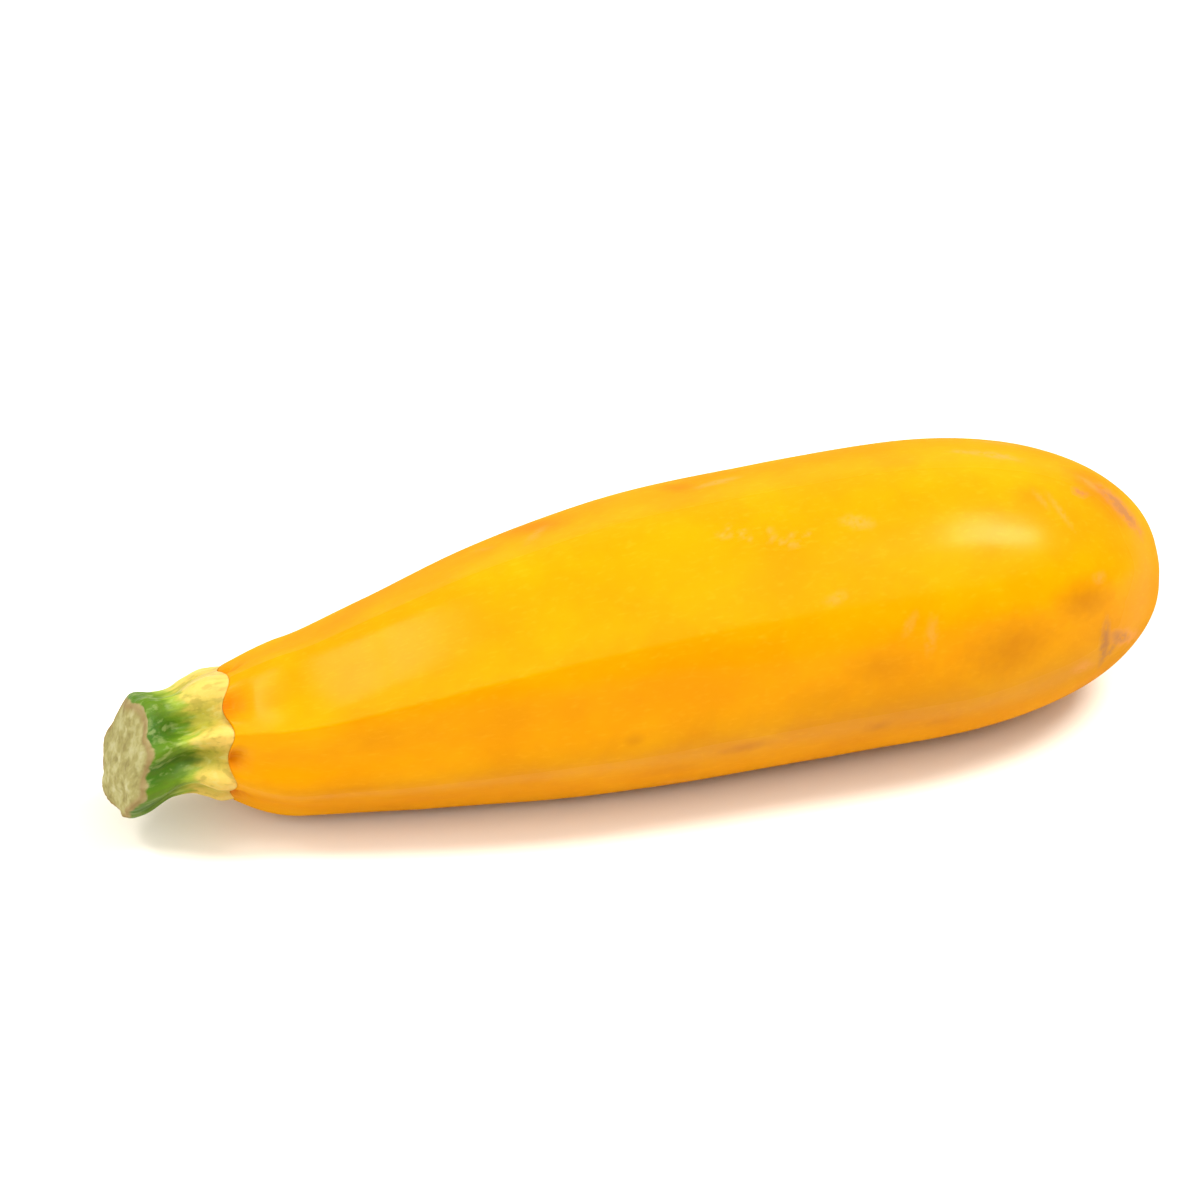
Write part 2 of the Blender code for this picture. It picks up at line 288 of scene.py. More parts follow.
def scar_relief(radius, direction):
    """How far the blossom scar stands out of the skin: a button with five flats, left by the petals."""
    button = SCAR_HEIGHT * plateau(radius, SCAR_RADIUS * (1 + PETAL_DEPTH * np.cos(PETALS * direction)))
    hollow = SCAR_DIMPLE * np.exp(-(radius / SCAR_SOFTNESS) ** 2)
    moat = SCAR_MOAT * np.exp(-((radius - SCAR_MOAT_RADIUS) / SCAR_SOFTNESS) ** 2)
    return button - hollow - moat


at_blossom = distance > FRUIT_LENGTH / 2
crumble = SCAR_CRUMBLE * at_blossom * plateau(radius, SCAR_RADIUS) * hollows(growth, SCAR_GRAIN)
scar = np.where(at_blossom, scar_relief(radius, direction), 0) - crumble
print("blossom scar", 2 * SCAR_RADIUS / MM, "mm across, standing", round(scar.max() / MM, 2), "mm proud")

# %% The skin's points
SCALLOP = 0.8 * MM
SCALLOP_WANDER = ((3, 0.15 * MM), (5, 0.18 * MM), (11, 0.12 * MM))     # how many waves, and their size


def scallop(share, radius, direction):
    """How far the joint between stem and fruit waves along the axis: forward on ridges, back in grooves."""
    wander = sum(size * np.sin(count * direction + count) for count, size in SCALLOP_WANDER)
    return (SCALLOP * np.cos(tau * share) + wander) * (radius / SEAT_RADIUS) ** 2


def outward(across, up, direction):
    """The way out from the axis in each direction round it."""
    return across * np.cos(direction)[:, None] + up * np.sin(direction)[:, None]


to_seat = np.maximum(0, 1 - distance / SHOULDER_LENGTH)
shift = scallop(share, radius, direction) * to_seat ** 2 + scar
point, onward, across, up = axis_frame(distance / FRUIT_LENGTH)
fruit_points = point + onward * shift[..., None] + outward(across, up, direction) * radius[..., None]


def lattice_box(points):
    """The lowest and highest corners of a lattice."""
    return points.reshape(-1, 3).min(0), points.reshape(-1, 3).max(0)


print("fruit lattice in mm:", in_mm(lattice_box(fruit_points)))

# %% [markdown]
# ## Into the frame
# The lattice grew from the stem end at X = 0, but the part's origin is under the middle of its box. It
# could be placed by hand, but the solid says where the fruit belongs, so the lattice is slid until both
# have the same middle. Underneath, the weight of the fruit presses a small flat on it: every point below
# the surface is lifted onto it.

# %% Slide the lattice onto its solid
solid_low, solid_high = (np.array(corner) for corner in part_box("fruit"))
lattice_low, lattice_high = lattice_box(fruit_points)
slide = (solid_low + solid_high) / 2 - (lattice_low + lattice_high) / 2
slide[2] = 0                    # its height is already right
fruit_points = fruit_points + slide
fruit_points[..., 2] = np.maximum(fruit_points[..., 2], 0)
placed_low, placed_high = lattice_box(fruit_points)
print("slid by", slide / MM, "mm")
print("misses the solid's box by", (placed_low - solid_low) / MM, (placed_high - solid_high) / MM, "mm")


# %% A closed mesh from a lattice
def pole_to_pole(values):
    """A lattice's values in the mesh's order: first pole, the rings between, last pole."""
    inside = values[1:-1].reshape(-1, *values.shape[2:])
    return np.concatenate((values[:1, 0], inside, values[-1:, 0]))


def closed_skin(name, points):
    """A mesh whose quads join each ring to the next, with a fan of triangles at each pole."""
    rings, segments = points.shape[0] - 2, points.shape[1]
    here = np.arange(segments)
    sides = list(zip(here, (here + 1) % segments))
    faces = [(0, 1 + right, 1 + left) for left, right in sides]
    for ring in range(rings - 1):
        near, far = 1 + ring * segments, 1 + (ring + 1) * segments
        faces += [(near + left, near + right, far + right, far + left) for left, right in sides]
    last_ring, last_pole = 1 + (rings - 1) * segments, 1 + rings * segments
    faces += [(last_ring + left, last_ring + right, last_pole) for left, right in sides]
    mesh = bpy.data.meshes.new(name)
    mesh.from_pydata(pole_to_pole(points), [], faces)
    mesh.shade_smooth()
    piece = bpy.data.objects.new(name, mesh)
    bpy.context.scene.collection.objects.link(piece)
    print(name, "has", sum(len(polygon.vertices) - 2 for polygon in mesh.polygons), "triangles")
    return piece


fruit = closed_skin("fruit_skin", fruit_points)

# %% Numbers that the rind's material reads at each point
SCAR_STAIN_RADIUS, SCAR_MIDDLE_RADIUS = 3.2 * MM, 1.7 * MM      # of the cork's colour and its dark middle
CREASE_SHADE_REACH, CREASE_SHADE_NARROWNESS = 2.2 * MM, 1.5               # of the shade painted in the creases beside the stem


def paint(piece, name, values):
    """Keeps a number for each point of the lattice, for the material to read."""
    layer = piece.data.attributes.new(name, "FLOAT", "POINT")
    layer.data.foreach_set("value", pole_to_pole(values).astype(np.float32))


def paint_places(piece, places):
    """Keeps each point's place in the growth, for patterns that follow it."""
    layer = piece.data.attributes.new("growth", "FLOAT_VECTOR", "POINT")
    layer.data.foreach_set("vector", pole_to_pole(places).astype(np.float32).ravel())


# Painted shade: the skin between the lobes, right beside the stem, is darkened as the creases there would
# shade it.
crease_shade_share = dip(share, 0) ** CREASE_SHADE_NARROWNESS * np.exp(-(distance / CREASE_SHADE_REACH) ** 2)
paint_places(fruit, growth)
paint(fruit, "groove", dip(share, 0) + 0 * radius)
paint(fruit, "scar", at_blossom * plateau(radius, SCAR_STAIN_RADIUS))
paint(fruit, "scar_middle", at_blossom * np.exp(-(radius / SCAR_MIDDLE_RADIUS) ** 2))
paint(fruit, "crease_shaded", crease_shade_share)
print("the pressed skin's colour fades within", CREASE_SHADE_REACH / MM, "mm of the stem")

# %% [markdown]
# ## Marks on the rind
# Golden rind bruises and rubs easily, and a fruit that lay on the ground has its life written on it: tan
# scuffs where a leaf rubbed it, ochre stains where it lay damp, and brown scabs where the young skin was
# cut. They could be a hand-painted image. Here each mark is an ellipse on the skin, given by its place and
# its real size, and noise frays its edge, because it then keeps its size on the fruit. A seeded draw
# strews a row of specks high on the side in view, and marks all round the back.
# The long faint ochre bands along the lower edge, on the viewer's side, are partly stain and partly painted
# shade.

# %% Where the marks are
# Each mark: mm from the stem, degrees round, mm long, mm wide, its turn in degrees, and its strength.
SCUFFS = [(135.2, 99, 7.5, 2, -15, 1), (131, 101, 5, 1.2, -15, 0.8), (108.6, 70.4, 5, 2.2, -20, 0.6),
          (144, 68, 6.5, 1, -62, 0.5), (141, 73, 4, 0.9, -62, 0.4), (156, 80, 9, 3.2, -44, 0.6),
          (151, 88, 4, 1.8, -30, 0.6), (149.6, 36, 2.4, 1.8, 0, 0.6), (117.6, 22, 6, 1.8, 80, 0.5),
          (114, 28, 4, 1.5, 60, 0.4), (102, 42.5, 3.5, 1.6, 10, 0.5), (155.5, 355, 7.5, 2.6, -42, 1),
          (147, 350, 4, 2.4, -20, 0.6)]
# The last four stains listed here, long and faint along the lower edge near 350 degrees, are partly painted
# shade.
STAINS_AND_LOW_SHADE = [(146.7, 26.5, 8, 6, 0, 1), (132.4, 10.4, 14, 9, 10, 0.95), (84, 346, 9, 3, 5, 1),
          (108, 344, 5.5, 3.5, 0, 0.9), (119.5, 339, 8, 4, 0, 0.7), (108, 12.7, 9, 5, 0, 0.6),
          (97, 3, 11, 6, 10, 0.45), (72, 338, 12, 5, 0, 0.45), (153, 84, 9, 6, -40, 1),
          (64.7, 0.4, 3, 2.2, 0, 0.7), (139, 74, 5, 4, 0, 0.5), (151, 4, 9, 6, -30, 0.6),
          (121, 355, 9, 4, 5, 0.4), (92, 352, 8, 5, 0, 0.4), (34, 346, 56, 11, 0, 0.35),
          (75, 348, 40, 11, 0, 0.4), (115, 348, 50, 13, 0, 0.5), (142, 354, 26, 13, 0, 0.45)]
SCABS = [(151, 358, 8.5, 1.6, 90, 1), (154, 359, 4.5, 1.8, -42, 0.9), (152.5, 352, 5, 1.3, 60, 0.7),
         (148.4, 80.3, 2.6, 1.8, 0, 0.8), (156, 79, 8.5, 2.8, -44, 1)]
print("placed by hand:", len(SCUFFS), "scuffs,", len(STAINS_AND_LOW_SHADE), "stains and", len(SCABS), "scabs")

# %% Marks that a seeded draw strews
draw = np.random.default_rng(5)
SPECK_ROW = np.array(((87, 77), (98.5, 67.5)))  # from and to: mm from the stem, degrees round
SPECKS, SPECK_SCATTER = 14, 2
SPECK_LENGTHS, SPECK_WIDTHS, SPECK_TURNS, SPECK_STRENGTH = (0.9, 1.6), (0.7, 1), (-60, 60), 0.6
STREWN_ALONG, STREWN_ROUND = (12, 158), (108, 332)      # the side that the photograph doesn't show
STREWN = ((SCUFFS, 26, 5, 1.6), (STAINS_AND_LOW_SHADE, 14, 11, 6), (SCABS, 5, 4, 1.2))      # how many, and their mean size
STREWN_SIZES, STREWN_TURN, STREWN_STRENGTHS = (0.5, 1.5), 35, (0.3, 0.9)

for place in draw.uniform(0, 1, SPECKS):
    at, turned = SPECK_ROW[0] * (1 - place) + SPECK_ROW[1] * place + draw.normal(0, SPECK_SCATTER, 2)
    length, width = draw.uniform(*SPECK_LENGTHS), draw.uniform(*SPECK_WIDTHS)
    SCUFFS.append((at, turned, length, width, draw.uniform(*SPECK_TURNS), SPECK_STRENGTH))

for marks, count, length, width in STREWN:
    for at, turned in zip(draw.uniform(*STREWN_ALONG, count), draw.uniform(*STREWN_ROUND, count)):
        size = draw.uniform(*STREWN_SIZES)
        lean = draw.normal(0, STREWN_TURN)
        marks.append((at, turned, length * size, width * size, lean, draw.uniform(*STREWN_STRENGTHS)))
print("in all:", len(SCUFFS), "scuffs,", len(STAINS_AND_LOW_SHADE), "stains and", len(SCABS), "scabs")

# %% The marks, point by point
FRAY, FRAY_SIZE = 0.3, 1.3 * MM         # how far noise moves a mark's edge, as a share of its reach
HARD, SOFT = 1, 1.6                     # over what share of a mark's reach its edge fades

fray = FRAY * lumps(growth, FRAY_SIZE)


def marked(marks, softness):
    """1 inside each mark and 0 outside, with frayed edges."""
    total = 0 * radius
    for at, turned, length, width, lean, strength in marks:
        onward_way = distance - at * MM
        around_way = ((direction - radians(turned) + pi) % tau - pi) * radius
        longways = onward_way * np.cos(radians(lean)) + around_way * np.sin(radians(lean))
        sideways = around_way * np.cos(radians(lean)) - onward_way * np.sin(radians(lean))
        reach = np.hypot(longways / (length * MM / 2), sideways / (width * MM / 2)) + fray
        total = np.maximum(total, strength * np.clip((1 - reach) / softness + 0.5, 0, 1))
    return total


for name, marks, softness in (("scuffed", SCUFFS, HARD), ("stained_and_shaded", STAINS_AND_LOW_SHADE, SOFT),
                              ("scabbed", SCABS, HARD)):
    mask = marked(marks, softness)
    paint(fruit, name, mask)
    print(name, "at", round(100 * float((mask > 0).mean()), 1), "% of the points")

# %% [markdown]
# ## The stem
# The stalk of a zucchini has as many ridges as the fruit, and each one ends in a fleshy lobe that clasps
# the fruit's shoulder. Between them are deep grooves. The knife left a slanted face, which dried into a low
# dome with a lumpy rim. It could be lofted through a few drawn sections. Here it is a lattice like the
# fruit's, because its lobes then meet the fruit's ridges: rings out over the cut, back along the side and
# in over the base.

# %% The stem's driving dimensions
STEM_LENGTH = 17.2 * MM
STEM_PAD_LEAN = 0.05            # how much further the stem's thick foot reaches on its upper side
STEM_TURN = radians(31)         # towards the viewer's side, reached at the cut
STEM_RISE = radians(1)
CUT_UPWARD = radians(20)        # the cut's face looks up
CUT_SIDEWAYS = radians(-15)     # and away from the viewer's side
CUT_DOME, CUT_DOME_FULLNESS = 2 * MM, 2.5
CUT_LUMPS = ((3, 0.5 * MM), (5, 0.3 * MM))      # how many go round the cut, and how high they are
JOINT_GAP = 0.03 * MM           # the solids keep ten times as much
stem_girth = smooth_curve(((0, 11.6 * MM), (0.13, 12 * MM), (0.3, 11.1 * MM), (0.45, 9.8 * MM),
                           (0.6, 9.7 * MM), (0.85, 10.6 * MM), (1, 10.3 * MM)))
stem_ridge_depth = smooth_curve(((0, 0.13), (0.3, 0.24), (0.6, 0.21), (1, 0.1)))
STEM_RIDGE_FULLNESS = 0.8       # under 1, ridges are narrower than the grooves between them
# No two grooves are alike: where each lies on the way from its ridge to the next, and how deep it is.
STEM_GROOVES = np.array(((0.36, 1.25), (0.6, 0.6), (0.5, 1), (0.45, 1.1), (0.55, 0.9), (0.4, 0.8),
                         (0.5, 1.15)))


def stem_dip(around):
    """0 on a ridge of the stem, rising to the depth of the groove between it and the next."""
    number, share = ridge_before(around)
    place, depth = STEM_GROOVES[number].T
    down_side = np.where(share < place, share / place, (1 - share) / (1 - place))
    return depth * ((1 - np.cos(pi * down_side)) / 2) ** STEM_RIDGE_FULLNESS


print("the stem is", round(2 * float(stem_girth(0.5)) / MM, 1), "mm thick over the ridges, halfway")


# %% The stem's frame and its cut
def stem_frame(along):
    """The stem leaves the fruit along its axis and bends away, as a share of its length from the joint."""
    point, onward, across, up = axis_frame(np.zeros(1))
    length = STEM_LENGTH * along
    bend = along * length / 2
    middle = point - onward * length + across * bend * np.sin(STEM_TURN) + up * bend * np.sin(STEM_RISE)
    back = unit(onward - across * along * np.sin(STEM_TURN) - up * along * np.sin(STEM_RISE))
    side = -unit(np.cross(up, back))
    return middle, back, side, -np.cross(back, side)


def cut_relief(radius, direction):
    """The cut dried domed, and lumpy towards its rim."""
    share = radius / stem_girth(1)
    waves = sum(height * np.sin(count * (direction + share)) for count, height in CUT_LUMPS)
    return CUT_DOME * (1 - share ** CUT_DOME_FULLNESS) + share * waves


print("the stem's middle at its cut, in mm:", stem_frame(np.ones((1, 1)))[0] / MM)

# %% The stem's lattice
STEM_SEGMENTS = 50 * len(RIDGES)
CUT_RINGS, SIDE_RINGS, BASE_RINGS = 50, 110, 12

stem_around = np.arange(STEM_SEGMENTS) / STEM_SEGMENTS
stem_direction, stem_share = between_ridges(stem_around)
over_cut = np.arange(CUT_RINGS) / CUT_RINGS
over_base = 1 - np.arange(1, BASE_RINGS + 1) / BASE_RINGS
along_side = np.linspace(1, 0, SIDE_RINGS + 1)
along = np.concatenate((np.ones(CUT_RINGS), along_side, np.zeros(BASE_RINGS)))[:, None]
inward = np.concatenate((over_cut, np.ones(SIDE_RINGS + 1), over_base))[:, None]
leaned = along - STEM_PAD_LEAN * np.sin(stem_direction) * along * (1 - along)
grooved = 1 - stem_ridge_depth(along) * stem_dip(stem_around)
stem_radius = stem_girth(leaned) * inward * grooved
print("stem lattice:", stem_radius.shape)

# %% Fibres along the stem and grain on its cut
FIBRE, FIBRE_WIDTH, FIBRE_STRETCH = 0.2 * MM, 1.1 * MM, 7
KNOB, KNOB_SIZE, KNOB_STRETCH = 0.7 * MM, 4.5 * MM, 1.5
CORK, CORK_SIZE, CORK_OCTAVES = 0.9 * MM, 3.4 * MM, 4
ROUNDED_FROM, CORK_FROM = 0.9, 0.93             # shares of the length, where the rim and the cork start
FOOT_LENGTH = 0.1                               # the share within which relief fades to the joint

stem_growth = np.stack((-STEM_LENGTH * along + 0 * stem_radius, stem_radius * np.cos(stem_direction),
                        stem_radius * np.sin(stem_direction)), -1)
near_cut = np.clip((along - ROUNDED_FROM) / (1 - ROUNDED_FROM), 0, 1)
on_cut = np.clip((along - CORK_FROM) / (1 - CORK_FROM), 0, 1) + 0 * stem_radius
fibres = FIBRE * hollows(stem_growth, FIBRE_WIDTH, FIBRE_STRETCH)
knobs = KNOB * hollows(stem_growth, KNOB_SIZE, KNOB_STRETCH)
cork = CORK * hollows(stem_growth, CORK_SIZE, octaves=CORK_OCTAVES) * on_cut
for name, depths in (("fibres", fibres), ("knobs", knobs), ("cork", cork)):
    print(name, "up to", round(depths.max() / MM, 2), "mm deep")

# %% The stem's points
RIM_ROUNDING = 0.9 * MM
RIM_WIDTH, RIM_STRENGTH = 0.07, 0.7             # of the brown rim, as a share of the cut's radius

stem_middle, stem_back, stem_side, stem_up = (part[:, None] for part in stem_frame(along))
relief = (fibres * (1 - on_cut) + knobs) * np.clip(along / FOOT_LENGTH, 0, 1) + RIM_ROUNDING * near_cut ** 2
side_radius = stem_radius - relief * inward
tilt = np.sin(stem_direction) * np.tan(CUT_UPWARD) + np.cos(stem_direction) * np.tan(CUT_SIDEWAYS)
slant = side_radius * tilt - cut_relief(side_radius, stem_direction) + cork
seat = scallop(stem_share, side_radius, stem_direction) - JOINT_GAP
stem_shift = slant * along ** 3 + seat * (1 - along) ** 3       # slanted at the cut, seated at the joint
stem_outward = outward(stem_side, stem_up, stem_direction)
stem_points = stem_middle + stem_back * stem_shift[..., None] + stem_outward * side_radius[..., None] + slide
stem = closed_skin("stem_stalk", stem_points)
paint_places(stem, stem_growth)
paint(stem, "along", along + 0 * stem_radius)
paint(stem, "groove", np.minimum(stem_dip(stem_around), 1) + 0 * stem_radius)
paint(stem, "cut", on_cut)
paint(stem, "rim", RIM_STRENGTH * np.exp(-((1 - inward) / RIM_WIDTH) ** 2) * near_cut + 0 * stem_radius)
print("stem in mm:", in_mm(lattice_box(stem_points)))

# %% [markdown]
# ## Building materials from nodes
# A finish is a small net of nodes that ends in one shader. It could be wired by hand in the editor, but a
# script keeps it readable. Colours are written as a web page would, in sRGB, and one function turns them
# to the linear values that a renderer adds up. Another adds a node, so that each finish below reads as a
# list of what goes on top of what.

# %% Colours and nodes
COLOUR_A, COLOUR_B, COLOUR_MIXED = 6, 7, 2      # a mix node's colour inputs and output, by number
NUMBER_A, NUMBER_B = 2, 3                       # and its inputs for plain numbers


def linear(hex_colour):
    """An sRGB hex colour as a linear one with an alpha of 1."""
    shares = [int(hex_colour[start:start + 2], 16) / 255 for start in (1, 3, 5)]
    values = [share / 12.92 if share <= 0.04045 else ((share + 0.055) / 1.055) ** 2.4 for share in shares]
    return (*values, 1)


def add_node(tree, kind, inputs, **settings):
    """Adds a node with its settings. Each input is a value, or another node's output to link from."""
    made = tree.nodes.new(kind)
    for name, value in settings.items():
        setattr(made, name, value)
    for name, value in inputs.items():
        if isinstance(value, bpy.types.NodeSocket):
            tree.links.new(value, made.inputs[name])
        else:
            made.inputs[name].default_value = value
    return made


def set_stops(ramp, stops):
    """Gives a colour ramp its stops of (place, hex), with smooth changes between them."""
    elements = ramp.color_ramp.elements
    ramp.color_ramp.interpolation = "EASE"
    while len(elements) < len(stops):
        elements.new(0.5)
    for element, (place, tint) in zip(elements, stops):
        element.position = place
        element.color = linear(tint)


def new_material(name):
    """An empty material, with the tree that its nodes go into."""
    material = bpy.data.materials.new(name)
    material.use_nodes = True
    material.node_tree.nodes.clear()
    return material, material.node_tree


print("a golden orange in linear values:", [round(value, 3) for value in linear("#CC8C00")])

# %% [markdown]
# ## Waxed golden rind
# The rind is living skin under a thin coat of its own wax. The pigment is a deep golden orange with hardly
# any blue in it, and the wax gives a satin gloss with soft-edged highlights. Seen along the skin, the wax's
# fine bloom scatters light instead of mirroring it, so the roughness rises towards grazing views. Light
# enters the skin a little and comes out more orange, so the shaded side stays warm. Such a rind could be
# painted by hand. One Principled shader does all of it here, because each effect is then a real property:
# a dielectric gloss, a little subsurface scatter, and a base colour with the marks laid over it.
# Its base colour also holds painted shade, in the creases beside the stem and along the lower edge.

# %% The rind's pigment
rind, tree = new_material("waxed golden rind")
CLOUD_SIZE = 16 * MM
DEEP_GOLD, LIGHT_GOLD = linear("#C48000"), linear("#CC8C00")
GROOVE_GOLD, GROOVE_STRENGTH = linear("#CC7A00"), 0.25
# Painted shade: a darker orange for the creases beside the stem.
CREASE_SHADE_ORANGE = linear("#B86200")

growth_places = add_node(tree, "ShaderNodeAttribute", {}, attribute_name="growth").outputs["Vector"]
clouds = add_node(tree, "ShaderNodeTexNoise", {
    "Vector": growth_places, "Scale": 1 / CLOUD_SIZE, "Detail": 4, "Roughness": 0.6})
# Noise seldom leaves 0.3 to 0.7, so here and below a map range stretches the part of it that is wanted.
cloud_share = add_node(tree, "ShaderNodeMapRange", {
    "Value": clouds.outputs["Fac"], "From Min": 0.35, "From Max": 0.65})
pigment = add_node(tree, "ShaderNodeMix", {
    0: cloud_share.outputs[0], COLOUR_A: DEEP_GOLD, COLOUR_B: LIGHT_GOLD}, data_type="RGBA")
groove = add_node(tree, "ShaderNodeAttribute", {}, attribute_name="groove").outputs["Fac"]
in_groove = add_node(tree, "ShaderNodeMath", {0: groove, 1: GROOVE_STRENGTH}, operation="MULTIPLY")
pigment = add_node(tree, "ShaderNodeMix", {
    0: in_groove.outputs[0], COLOUR_A: pigment.outputs[COLOUR_MIXED], COLOUR_B: GROOVE_GOLD},
    data_type="RGBA")
# Painted shade: the creases beside the stem turn a darker orange.
crease_shaded = add_node(tree, "ShaderNodeAttribute", {}, attribute_name="crease_shaded").outputs["Fac"]
pigment = add_node(tree, "ShaderNodeMix", {
    0: crease_shaded, COLOUR_A: pigment.outputs[COLOUR_MIXED], COLOUR_B: CREASE_SHADE_ORANGE}, data_type="RGBA")
print("clouds of pigment repeat about", round(FRUIT_LENGTH / CLOUD_SIZE), "times along the fruit")

# %% Pale flecks along the rind
FLECK_WIDTH, FLECK_PULL = 0.7 * MM, 0.4         # under 1, the pull makes flecks longer than wide
FLECK_GOLD, FLECK_STRENGTH = linear("#E8AE2A"), 0.16

lengthways = add_node(tree, "ShaderNodeMapping", {"Vector": growth_places, "Scale": (FLECK_PULL, 1, 1)})
flecks = add_node(tree, "ShaderNodeTexNoise", {
    "Vector": lengthways.outputs[0], "Scale": 1 / FLECK_WIDTH, "Detail": 2})
fleck_share = add_node(tree, "ShaderNodeMapRange", {
    "Value": flecks.outputs["Fac"], "From Min": 0.55, "From Max": 0.8, "To Max": FLECK_STRENGTH})
pigment = add_node(tree, "ShaderNodeMix", {
    0: fleck_share.outputs[0], COLOUR_A: pigment.outputs[COLOUR_MIXED], COLOUR_B: FLECK_GOLD},
    data_type="RGBA")
print("flecks are", FLECK_WIDTH / MM, "mm wide and", round(FLECK_WIDTH / FLECK_PULL / MM, 2), "mm long")

# %% The marks, one over the other
SPECK_SIZE = 1.1 * MM           # the broken grain of scuffs, scabs and cork
# Each mark: the numbers painted above, its colour, how strong it is, and whether the grain breaks it up.
MARK_COLOURS = (("stained_and_shaded", "#A86608", 0.7, False), ("scuffed", "#D48C44", 0.65, True),
                ("scabbed", "#9C683E", 0.85, True), ("scar", "#A47C4C", 1, True),
                ("scar_middle", "#6E4A2A", 0.8, False))

speck_noise = add_node(tree, "ShaderNodeTexNoise", {
    "Vector": growth_places, "Scale": 1 / SPECK_SIZE, "Detail": 3})
specks = add_node(tree, "ShaderNodeMapRange", {
    "Value": speck_noise.outputs["Fac"], "From Min": 0.3, "From Max": 0.5})
colour = pigment.outputs[COLOUR_MIXED]
# The stained marks include painted shade along the lower edge.
for name, tint, strength, broken in MARK_COLOURS:
    mask = add_node(tree, "ShaderNodeAttribute", {}, attribute_name=name).outputs["Fac"]
    if broken:
        grained = add_node(tree, "ShaderNodeMath", {0: mask, 1: specks.outputs[0]}, operation="MULTIPLY")
        mask = grained.outputs[0]
    faded = add_node(tree, "ShaderNodeMath", {0: mask, 1: strength}, operation="MULTIPLY", use_clamp=True)
    marked_over = add_node(tree, "ShaderNodeMix", {
        0: faded.outputs[0], COLOUR_A: colour, COLOUR_B: linear(tint)}, data_type="RGBA")
    colour = marked_over.outputs[COLOUR_MIXED]
print("marks over the pigment:", [name for name, *_ in MARK_COLOURS])

# %% The rind's gloss and its fine bump
RIND_IOR = 1.44                 # plant wax
RIND_GLOSS = 0.12               # the wax is thin and broken, so it mirrors less than a smooth layer would
WAX_GOLD = linear("#FFE1A0")    # its highlights are tinted by the skin under it
RIND_ROUGHNESS, BLOOM_ROUGHNESS, CORK_ROUGHNESS = 0.22, 0.9, 0.7
BLOOM_FROM, BLOOM_FULL = 0.3, 0.85              # 0 is seen square on, and 1 is seen along the skin
PORE_SIZE, PORE_DEPTH = 0.5 * MM, 0.012 * MM    # real pores are finer, and wouldn't show
SKIN_DEPTH = 1.2 * MM           # how far light spreads in the skin, red furthest and blue least

corky = add_node(tree, "ShaderNodeAttribute", {}, attribute_name="scabbed").outputs["Fac"]
scarred = add_node(tree, "ShaderNodeAttribute", {}, attribute_name="scar").outputs["Fac"]
dull = add_node(tree, "ShaderNodeMath", {0: corky, 1: scarred}, operation="MAXIMUM")
facing = add_node(tree, "ShaderNodeLayerWeight", {"Blend": 0.5}).outputs["Facing"]
bloom = add_node(tree, "ShaderNodeMapRange", {
    "Value": facing, "From Min": BLOOM_FROM, "From Max": BLOOM_FULL, "To Min": RIND_ROUGHNESS,
    "To Max": BLOOM_ROUGHNESS}, interpolation_type="SMOOTHSTEP")
roughness = add_node(tree, "ShaderNodeMapRange", {
    "Value": dull.outputs[0], "To Min": bloom.outputs[0], "To Max": CORK_ROUGHNESS})
pores = add_node(tree, "ShaderNodeTexNoise", {"Vector": growth_places, "Scale": 1 / PORE_SIZE, "Detail": 2})
bump = add_node(tree, "ShaderNodeBump", {
    "Height": pores.outputs["Fac"], "Distance": PORE_DEPTH, "Strength": 1})
shader = add_node(tree, "ShaderNodeBsdfPrincipled", {
    "Base Color": colour, "Roughness": roughness.outputs[0], "Normal": bump.outputs[0], "IOR": RIND_IOR,
    "Specular IOR Level": RIND_GLOSS, "Specular Tint": WAX_GOLD, "Subsurface Weight": 0.08,
    "Subsurface Radius": (1, 0.5, 0.1), "Subsurface Scale": SKIN_DEPTH})
add_node(tree, "ShaderNodeOutputMaterial", {"Surface": shader.outputs[0]})
fruit.data.materials.append(rind)
print(rind.name, "has", len(tree.nodes), "nodes")

# %% [markdown]
# ## Fibrous stalk
# The stalk is plant fibre under a matt skin. Its foot is as yellow as the fruit, and it turns green towards
# the cut, first in streaks along the fibres. The grooves are darker and greener than the ridges. The cut
# face dried to a pale cork with brown edges, and has no gloss at all. It could be painted too. Here two
# colour ramps run along it, one for ridges and one for grooves, because the change of colour then follows
# the stalk's own form.
# Pale patches in its colour are partly painted glints.

# %% How green the stalk is at each place
stalk, tree = new_material("fibrous green stalk")
STREAK_WIDTH, STREAK_PULL = 0.9 * MM, 0.14
STREAK_SHIFT = 0.3              # how far streaks move the change of colour, as a share of the length
GROOVE_LEAD = 0.12              # how much sooner grooves turn green

stem_places = add_node(tree, "ShaderNodeAttribute", {}, attribute_name="growth").outputs["Vector"]
lengthways = add_node(tree, "ShaderNodeMapping", {"Vector": stem_places, "Scale": (STREAK_PULL, 1, 1)})
streaks = add_node(tree, "ShaderNodeTexNoise", {
    "Vector": lengthways.outputs[0], "Scale": 1 / STREAK_WIDTH, "Detail": 3})
stem_along = add_node(tree, "ShaderNodeAttribute", {}, attribute_name="along").outputs["Fac"]
stem_groove = add_node(tree, "ShaderNodeAttribute", {}, attribute_name="groove").outputs["Fac"]
streaked = add_node(tree, "ShaderNodeMath", {
    0: streaks.outputs["Fac"], 1: STREAK_SHIFT, 2: -STREAK_SHIFT / 2}, operation="MULTIPLY_ADD")
ahead = add_node(tree, "ShaderNodeMath", {
    0: stem_groove, 1: GROOVE_LEAD, 2: stem_along}, operation="MULTIPLY_ADD")
greening = add_node(tree, "ShaderNodeMath", {0: ahead.outputs[0], 1: streaked.outputs[0]}, operation="ADD")
